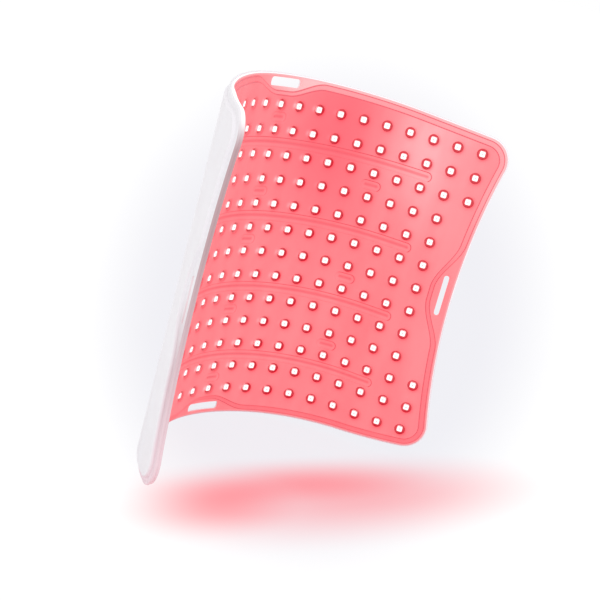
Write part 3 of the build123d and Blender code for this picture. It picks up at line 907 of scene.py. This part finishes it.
class Finish(Nodes):
    """A material under way: its Principled shader's inputs and the tone mixed so far."""

    def __init__(self, name, tone, roughness):
        self.material = bpy.data.materials.new(name)
        self.material.use_nodes = True
        super().__init__(self.material.node_tree)
        self.shader = self.tree.nodes["Principled BSDF"].inputs
        self.feed(self.shader["Roughness"], roughness)
        self.tone = tone

    def coat(self, share, colour, most=1.0):
        """Lays a colour over the tone, by a share or an attribute's name, times most."""
        if isinstance(share, str):
            share = self.read(share)
        self.tone = self.mix(self.math("MULTIPLY", share, most), self.tone, colour)

    def close(self, glow=0.0, light=None, grain=(1200, 2), depth=0.00005, relief=0.15):
        """Gives the shader its tone, the light it gives off and the grain of its surface.

        The light has the colour of the tone unless another one is told. A grain is the scale
        and detail of its noise.
        """
        self.feed(self.shader["Base Color"], self.tone)
        if glow:
            self.feed(self.shader["Emission Color"], self.tone if light is None else light)
            self.feed(self.shader["Emission Strength"], glow)
        height = self.noise(self.place(), *grain)
        bump = self.add("Bump", {"Height": height, "Distance": depth, "Strength": relief})
        self.feed(self.shader["Normal"], bump["Normal"])
        return self.material


# Where painted lines run, in metres off their contours: widths, or where they start and end.
# Most are painted shade along the steps, grooves, channels and rounded edge, and on the flap.
STEP_LINE, GROOVE_LINE = 0.0005, 0.0004
CHANNEL_LINE = (-0.0005, 0.0007)
ROUNDED_EDGE = (0.0014, 0.0008)
CUT_EDGE = (0.00025, 0.00005)
BACK_CUT_EDGE = (0.0006, 0.0002)
# Painted light on the wells' walls is full left of the first place and gone at the second.
WELL_LIGHT = (-0.02, 0.05)  # along the sheet, from where wells are paler to where they are not
STREAK_STRETCH = 0.28  # the streaks' noise changes this much more slowly upright than across


def mix_flap_shade(paint, colours):
    """The painted grey shade of the left flap's edge, which is paler towards its foot."""
    return paint.mix(paint.read("tip"), colours.back_mottle_and_rim_shade, colours.back_tip_shade)


def paint_front(sizes, colours):
    """Lit silicone.

    Pink, deeper where the light gathers, with a painted highlight at the upper right and soft
    upright streaks that follow the sheet. The low step has painted shade, slight all round and
    deeper below and at the sides, and it and the rim have painted light above. Thin painted shade
    lines lie along the steps, in the grooves' channels, on the grooves' upper and right walls and
    along the rounded edge. Round each well lie painted shade at its lower right and a painted
    highlight at its left. The left flap's edge has painted grey shade and gives off no light.
    """
    paint = Finish("lit_silicone", colours.front, roughness=0.42)
    paint.coat("deep", colours.front_deep, 0.95)
    # Painted highlight: a soft pale spot at the upper right.
    paint.coat("pale", colours.front_highlight)
    upright = paint.math("MULTIPLY", paint.read("up"), STREAK_STRETCH)
    place = paint.add("CombineXYZ", {0: paint.read("along"), 1: upright})[0]
    streaks = paint.noise(place, scale=70, detail=2)
    paint.coat(paint.ease(streaks, (0.35, 0.7), (0.0, 0.22)), colours.front_deep)

    half = sizes.edge_ramp / 2
    upper = paint.read("upper")
    # The rim takes painted light at the upper right and keeps the field's tone elsewhere.
    rim = paint.mix(upper, paint.tone, colours.rim)
    on_step = paint.past("field", half, -half)
    # Painted shade on the low step, deeper below and at the sides, and painted light on it at the
    # upper right.
    shaded = paint.ease(paint.read("shaded"), (0.0, 1.0), (0.12, 0.5))
    paint.coat(on_step, colours.shaded_low_step, shaded)
    paint.coat(paint.math("MULTIPLY", on_step, upper), colours.lit_low_step, 0.8)
    paint.coat(paint.past("step", half, -half), rim)

    # Painted shade in the soft channels of the grooves and marks.
    paint.coat(paint.past("channel", *CHANNEL_LINE), colours.line, 0.52)
    lee = paint.ease(paint.read("lee"), (0.0, 1.0), (0.15, 0.95))
    paint.coat(paint.near("groove", GROOVE_LINE), colours.line, lee)
    paint.coat(paint.near("field", STEP_LINE), colours.line, 0.85)
    paint.coat(paint.near("step", STEP_LINE), colours.line, 0.85)
    # Painted shade close round each well at its lower right.
    paint.coat("blush", colours.blush, 0.75)
    # Painted highlight at the left of each well.
    paint.coat("halo", colours.halo, 0.6)

    # Painted grey shade on the left flap's edge, which gives off no light there.
    flap = paint.read("flap")
    foot = mix_flap_shade(paint, colours)
    # Painted shade along the front skin's rounded edge.
    rounded = paint.past("edge", *ROUNDED_EDGE)
    paint.coat(rounded, colours.rounded_edge_shade, 0.6)
    paint.coat(paint.past("edge", *CUT_EDGE), paint.mix(flap, colours.wall, foot))
    unlit = paint.math("MULTIPLY", rounded, flap)
    paint.coat(unlit, foot, 0.85)
    light = paint.mix(unlit, paint.tone, (0.0, 0.0, 0.0))
    return paint.close(colours.front_glow, light, grain=(900, 3), depth=0.0001, relief=0.12)


def paint_wells(colours):
    """Glossy red walls of the wells, with painted shade towards the board and painted light upper
    left.
    """
    paint = Finish("well_wall", colours.well, roughness=0.2)
    # Painted shade towards the foot of the walls.
    paint.coat(paint.past("inner", 0.1, 0.9), colours.well_foot_shade)
    # Painted light on each wall's upper left, and on all walls towards the sheet's left.
    paint.coat(paint.ease(paint.read("blush"), (0.1, 0.8), (0.45, 0.0)), colours.halo)
    paint.coat(paint.ease(paint.read("along"), WELL_LIGHT, (0.3, 0.0)), colours.halo)
    return paint.close(colours.well_glow)


def paint_back(colours):
    """White silicone with a slight grey mottle and a little painted shade on its back's rim
    towards the foot.
    """
    paint = Finish("white_silicone", colours.back, roughness=0.45)
    # A slight random grey mottle.
    mottle = paint.noise(paint.place(), scale=60, detail=3)
    paint.coat(paint.ease(mottle, (0.3, 0.7), (0.0, 0.06)), colours.back_mottle_and_rim_shade)
    # Painted shade on the back's rim towards the foot, and on the flap's cut edge.
    foot = mix_flap_shade(paint, colours)
    paint.coat("rim", foot)
    paint.coat(paint.past("edge", *BACK_CUT_EDGE), foot, paint.read("flap"))
    return paint.close()


def paint_plain(name, tint, roughness, glow=0.0, metal=0.0, grain=1200):
    """A moulded or metal finish: slight mottling of the colour and a fine grain."""
    paint = Finish(name, [0.9 * channel for channel in tint], roughness)
    paint.coat(paint.noise(paint.place(), scale=120, detail=4), tint)
    paint.feed(paint.shader["Metallic"], metal)
    return paint.close(glow, grain=(grain, 2))


def state(context):
    """The sizes and the colours that the sidebar shows."""
    return context.scene.panel_sizes, context.scene.panel_colours


class PANEL_OT_front(bpy.types.Operator):
    """Models the lit front skin with its wells, grooves, step and strap slots"""

    bl_idname = "therapy_panel.front"
    bl_label = "Front skin"

    def execute(self, context):
        sizes, colours = state(context)
        rings = [(sizes.field_inset + off, 1, 0) for off in RAMP_RINGS]
        rings.append(((sizes.field_inset + sizes.step_inset) / 2, 0.5, 0.5))
        rings += [(sizes.step_inset + off, 0, 1) for off in RAMP_RINGS]
        rings += rim_rings(rings[-1], [sizes.front_edge + inset for inset in FRONT_ROUND_RINGS])
        sheet = Sheet(sizes, ACROSS_LINES, UPRIGHT_LINES, rings, FRONT_FILL)
        sheet.pierce(wells=True)
        materials = [paint_front(sizes, colours), paint_wells(colours)]
        hang_lengths("front", sheet, front_heights(sheet), materials)
        return {"FINISHED"}


class PANEL_OT_back(bpy.types.Operator):
    """Models the white back skin with its raised field and strap slots"""

    bl_idname = "therapy_panel.back"
    bl_label = "Back skin"

    def execute(self, context):
        sizes, colours = state(context)
        rings = [*BACK_RINGS, *rim_rings(BACK_RINGS[-1], BACK_ROUND_RINGS)]
        sheet = Sheet(sizes, BACK_LINES, BACK_LINES, rings, BACK_FILL)
        sheet.pierce(wells=False)
        hang_lengths("back", sheet, back_heights(sheet), [paint_back(colours)])
        return {"FINISHED"}


class PANEL_OT_leds(bpy.types.Operator):
    """Models the LED packages: a chamfered square frame round a low lens"""

    bl_idname = "therapy_panel.leds"
    bl_label = "LED packages"

    def execute(self, context):
        sizes, colours = state(context)
        curl = Curl(sizes)
        paints = [
            paint_plain("led_frame", colours.housing, 0.4, colours.housing_glow),
            paint_plain("led_lens", colours.lens, 0.15, colours.lens_glow),
            paint_plain("led_die", colours.die, 0.3, colours.die_glow),
        ]
        last_column, last_row = (sizes.columns - 1) // 2, (sizes.rows - 1) // 2
        column, row = np.meshgrid(
            np.arange(-last_column, last_column + 1), np.arange(-last_row, last_row + 1)
        )
        lit = has_led(column, row, sizes)
        column, row = column[lit], row[lit]
        zone = np.searchsorted(FOLD_COLUMNS, column)
        for number, name in enumerate(BODIES):
            s, z = (places[zone == number] * sizes.pitch for places in (column, row))
            points, faces, slot = lay_packages(curl, s, z, sizes)
            piece = make_mesh(f"led_packages_dressed_{name}", points, faces, paints, slot)
            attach(piece, name)
            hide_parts(f"led_packages_{name}")
        return {"FINISHED"}


# An LED package is a stack of square rings with cut corners: for each ring a share of the half
# width and a share of the height. The rings from the fifth on are the lens, and one face closes
# the last and smallest, over the die.
LED_PROFILE = np.array([
    (1, 0), (1, 0.86), (0.95, 0.92), (0.86, 0.92), (0.84, 0.88), (0.78, 0.95), (0.3, 1.0),
])
LED_LENS_RING = 4
LED_CORNER = 0.72


def lay_packages(curl, s, z, sizes):
    """LED packages at places on the sheet: points, faces and each face's material."""
    cut = LED_CORNER
    ring = np.array([
        (1, -cut), (1, cut), (cut, 1), (-cut, 1), (-1, cut), (-1, -cut), (-cut, -1), (cut, -1),
    ])
    profile = LED_PROFILE[:, None]
    spread = ring * profile[..., :1] * sizes.led_width / 2
    base = curl.place(s, z, sizes.led_seat)[:, None, None]
    along, front = (axis[:, None, None] for axis in curl.axes(s))
    points = (
        base + spread[..., :1] * along + spread[..., 1:] * np.array([0, 0, 1.0])
        + profile[..., 1:] * sizes.led_height * front
    )
    rings, corners = len(LED_PROFILE), len(ring)
    k, i = np.meshgrid(np.arange(rings - 1), np.arange(corners), indexing="ij")
    lower, upper, j = k * corners, (k + 1) * corners, (i + 1) % corners
    walls = np.stack([lower + i, lower + j, upper + j, upper + i], -1).reshape(-1, 4)
    cap = np.array([(7, 0, 1, 2), (2, 3, 6, 7), (3, 4, 5, 6)])
    one = np.concatenate([walls, cap + (rings - 1) * corners, cap[:, ::-1]])
    slot = np.concatenate([(k >= LED_LENS_RING).ravel(), np.full(3, 2), np.zeros(3)])
    faces = one[None] + (np.arange(len(s)) * rings * corners)[:, None, None]
    return points.reshape(-1, 3), faces.reshape(-1, 4), np.tile(slot, len(s))


class PANEL_OT_inside(bpy.types.Operator):
    """Finishes the board, the resistors and the pieces of the power inlet"""

    bl_idname = "therapy_panel.inside"
    bl_label = "Board and inlet"

    def execute(self, context):
        colours = state(context)[1]
        cover = paint_plain("inlet_cover", colours.inlet, 0.5, grain=2500)
        contact = paint_plain("plated_contact", colours.contact, 0.2, metal=1.0)
        finishes = {
            "inlet_housing": cover,
            "inlet_backing_plate": cover,
            "inlet_gasket": paint_plain("gasket_rubber", colours.back, 0.6),
            "power_socket": paint_plain("socket_plastic", colours.socket, 0.4),
            "power_socket_pin": contact,
            "solder_pads": contact,
            "inlet_leads": paint_plain("lead_sheath", colours.lead, 0.45),
            "inlet_screws": paint_plain("screw_steel", colours.steel, 0.3, metal=1.0),
        }
        # Painted light: the board gives off the wells' light, though it is no lamp.
        board = paint_plain("board_face", colours.board, 0.4, colours.well_glow)
        chip = paint_plain("chip_glaze", colours.chip, 0.3)
        finishes.update({f"led_board_{name}": board for name in BODIES})
        finishes.update({f"resistors_{name}": chip for name in BODIES})
        for name, material in finishes.items():
            mesh = frame["nodes"][name].data
            mesh.materials.clear()
            mesh.materials.append(material)
        return {"FINISHED"}


# The camera's place, its axes, each a row, and its lens in millimetres; and the lamp's way.
CAMERA_PLACE = (-0.56409, -0.46288, 0.29753)
CAMERA_RIGHT = (0.65316, -0.71365, 0.25314)
CAMERA_UP = (0.03864, 0.36527, 0.93010)
CAMERA_BACK = (-0.75623, -0.59772, 0.26616)
CAMERA_LENS, CAMERA_FILM = 78.83, 36
LAMP_WAY, LAMP_SPREAD, LAMP_ENERGY = (0.5, 0.6, -1.0), 40, 0.5
WORLD_LIGHT = 0.9

# The floor: how far below the frame's it lies, how far it reaches, the share of its colour that
# the camera sees as plain light and how strong that light is.
FLOOR_DROP, FLOOR_REACH = 0.001, 60.0
FLOOR_PLAIN, FLOOR_LIGHT = 0.93, 1.09
# The pool of red light is three ellipses added up: centre, radii, turn in degrees and share.
POOL = (
    ((-0.0739, -0.0524), (0.0670, 0.0385), -3.5, 0.37),
    ((0.0294, -0.0775), (0.1953, 0.0562), -8.5, 0.45),
    ((-0.0045, -0.0449), (0.1255, 0.0308), -12.1, 0.33),
)
# The soft shade is told from a point on the floor in front of the panel and a way ahead from
# there in degrees. It is an ellipse in bearing, across over ahead, and in nearness, a height
# over ahead, which is full inside a share of its radii.
SHADE_POINT, SHADE_AHEAD = (-0.564, -0.463), 38.3
SHADE_HEIGHT, SHADE_LEAST = 0.2975, 0.05
SHADE_CENTRE, SHADE_TURN, SHADE_RADII = (-0.0211, 0.29), 2.6, (0.2228, 0.26)
SHADE_FULL = 0.5285


class PANEL_OT_stage(bpy.types.Operator):
    """Sets the studio: a pale floor with a pool of red light, soft lamps and the camera"""

    bl_idname = "therapy_panel.stage"
    bl_label = "Stage"

    def execute(self, context):
        scene = context.scene
        scene.view_settings.view_transform = "Standard"
        light_world(scene)
        lay_floor(state(context)[1])
        lamp = bpy.data.lights.new("key", "SUN")
        lamp.angle = math.radians(LAMP_SPREAD)
        lamp.energy = LAMP_ENERGY
        key = bpy.data.objects.new("key", lamp)
        key.rotation_euler = Vector(LAMP_WAY).to_track_quat("-Z", "Y").to_euler()
        scene.collection.objects.link(key)
        camera = bpy.data.objects.new("camera", bpy.data.cameras.new("camera"))
        turn = Matrix((CAMERA_RIGHT, CAMERA_UP, CAMERA_BACK)).transposed().to_4x4()
        camera.matrix_world = Matrix.Translation(CAMERA_PLACE) @ turn
        camera.data.lens = CAMERA_LENS
        camera.data.sensor_width = CAMERA_FILM
        camera.data.clip_start, camera.data.clip_end = 0.01, 50
        scene.collection.objects.link(camera)
        scene.camera = camera
        return {"FINISHED"}


def light_world(scene):
    """A pale world, which the camera and reflections see as white."""
    world = bpy.data.worlds.new("studio")
    world.use_nodes = True
    scene.world = world
    nodes = Nodes(world.node_tree)
    sky = world.node_tree.nodes["Background"].inputs
    nodes.feed(sky["Color"], (1.0, 1.0, 1.0))
    seen = nodes.add("LightPath")
    share = seen["Is Camera Ray"]
    for ray in ("Is Glossy Ray", "Is Transmission Ray"):
        share = nodes.math("MAXIMUM", share, seen[ray])
    nodes.feed(sky["Strength"], nodes.ease(share, (0.0, 1.0), (WORLD_LIGHT, 1.0)))


def lay_floor(colours):
    """A wide level sheet below the panel, with a grey shade and the panel's red light on it."""
    corners = np.array([(-1, -1), (1, -1), (1, 1), (-1, 1)]) * FLOOR_REACH
    points = np.column_stack([corners, np.full(4, -FLOOR_DROP)])
    paint = Finish("studio_floor", colours.floor, roughness=0.9)
    paint.feed(paint.shader["Specular IOR Level"], 0.0)
    paint.coat(shade_share(paint), colours.shade)
    pool = 0.0
    for centre, radii, turn, share in POOL:
        turned = paint.turned_place(paint.place(), centre, turn, radii)
        pool = paint.math("ADD", paint.fade_out(turned, 0.0, share), pool)
    paint.coat(pool, colours.pool)
    paint.feed(paint.shader["Base Color"], paint.tone)
    lit = paint.tree.nodes["Principled BSDF"].outputs[0]
    plain = paint.add("Emission", {"Color": paint.tone, "Strength": FLOOR_LIGHT})[0]
    seen = paint.add("LightPath")["Is Camera Ray"]
    blend = {0: paint.math("MULTIPLY", seen, FLOOR_PLAIN), 1: lit, 2: plain}
    surface = paint.tree.nodes["Material Output"].inputs["Surface"]
    paint.feed(surface, paint.add("MixShader", blend)[0])
    floor = make_mesh("studio_floor", points, np.array([[0, 1, 2, 3]]), [paint.material])


def shade_share(paint):
    """The soft shade's share: an ellipse in bearing and in nearness from a point."""
    turned = paint.turned_place(paint.place(), SHADE_POINT, SHADE_AHEAD)
    parts = paint.add("SeparateXYZ", {0: turned})
    ahead = paint.math("MAXIMUM", parts[0], SHADE_LEAST)
    bearing = paint.math("DIVIDE", parts[1], ahead)
    nearness = paint.math("DIVIDE", SHADE_HEIGHT, ahead)
    both = paint.add("CombineXYZ", {0: bearing, 1: nearness})[0]
    turned = paint.turned_place(both, SHADE_CENTRE, SHADE_TURN, SHADE_RADII)
    return paint.fade_out(turned, SHADE_FULL, 1.0)


class PANEL_PT_sidebar(bpy.types.Panel):
    """Lists the panel's pieces in the sidebar"""

    bl_idname = "PANEL_PT_sidebar"
    bl_label = "Light therapy panel"
    bl_space_type = "VIEW_3D"
    bl_region_type = "UI"
    bl_category = "Panel"

    def draw(self, context):
        for operator in OPERATORS:
            self.layout.operator(operator.bl_idname)
        for group in state(context):
            for name in group.__annotations__:
                self.layout.prop(group, name)


OPERATORS = (PANEL_OT_front, PANEL_OT_back, PANEL_OT_leds, PANEL_OT_inside, PANEL_OT_stage)
CLASSES = (SheetSizes, PanelColours, *OPERATORS, PANEL_PT_sidebar)


def register():
    for kind in CLASSES:
        bpy.utils.register_class(kind)
    bpy.types.Scene.panel_sizes = PointerProperty(type=SheetSizes)
    bpy.types.Scene.panel_colours = PointerProperty(type=PanelColours)


def unregister():
    del bpy.types.Scene.panel_colours
    del bpy.types.Scene.panel_sizes
    for kind in reversed(CLASSES):
        bpy.utils.unregister_class(kind)


def main():
    register()
    bpy.ops.therapy_panel.front()
    bpy.ops.therapy_panel.back()
    bpy.ops.therapy_panel.leds()
    bpy.ops.therapy_panel.inside()
    bpy.ops.therapy_panel.stage()


if __name__ == "__main__":
    main()
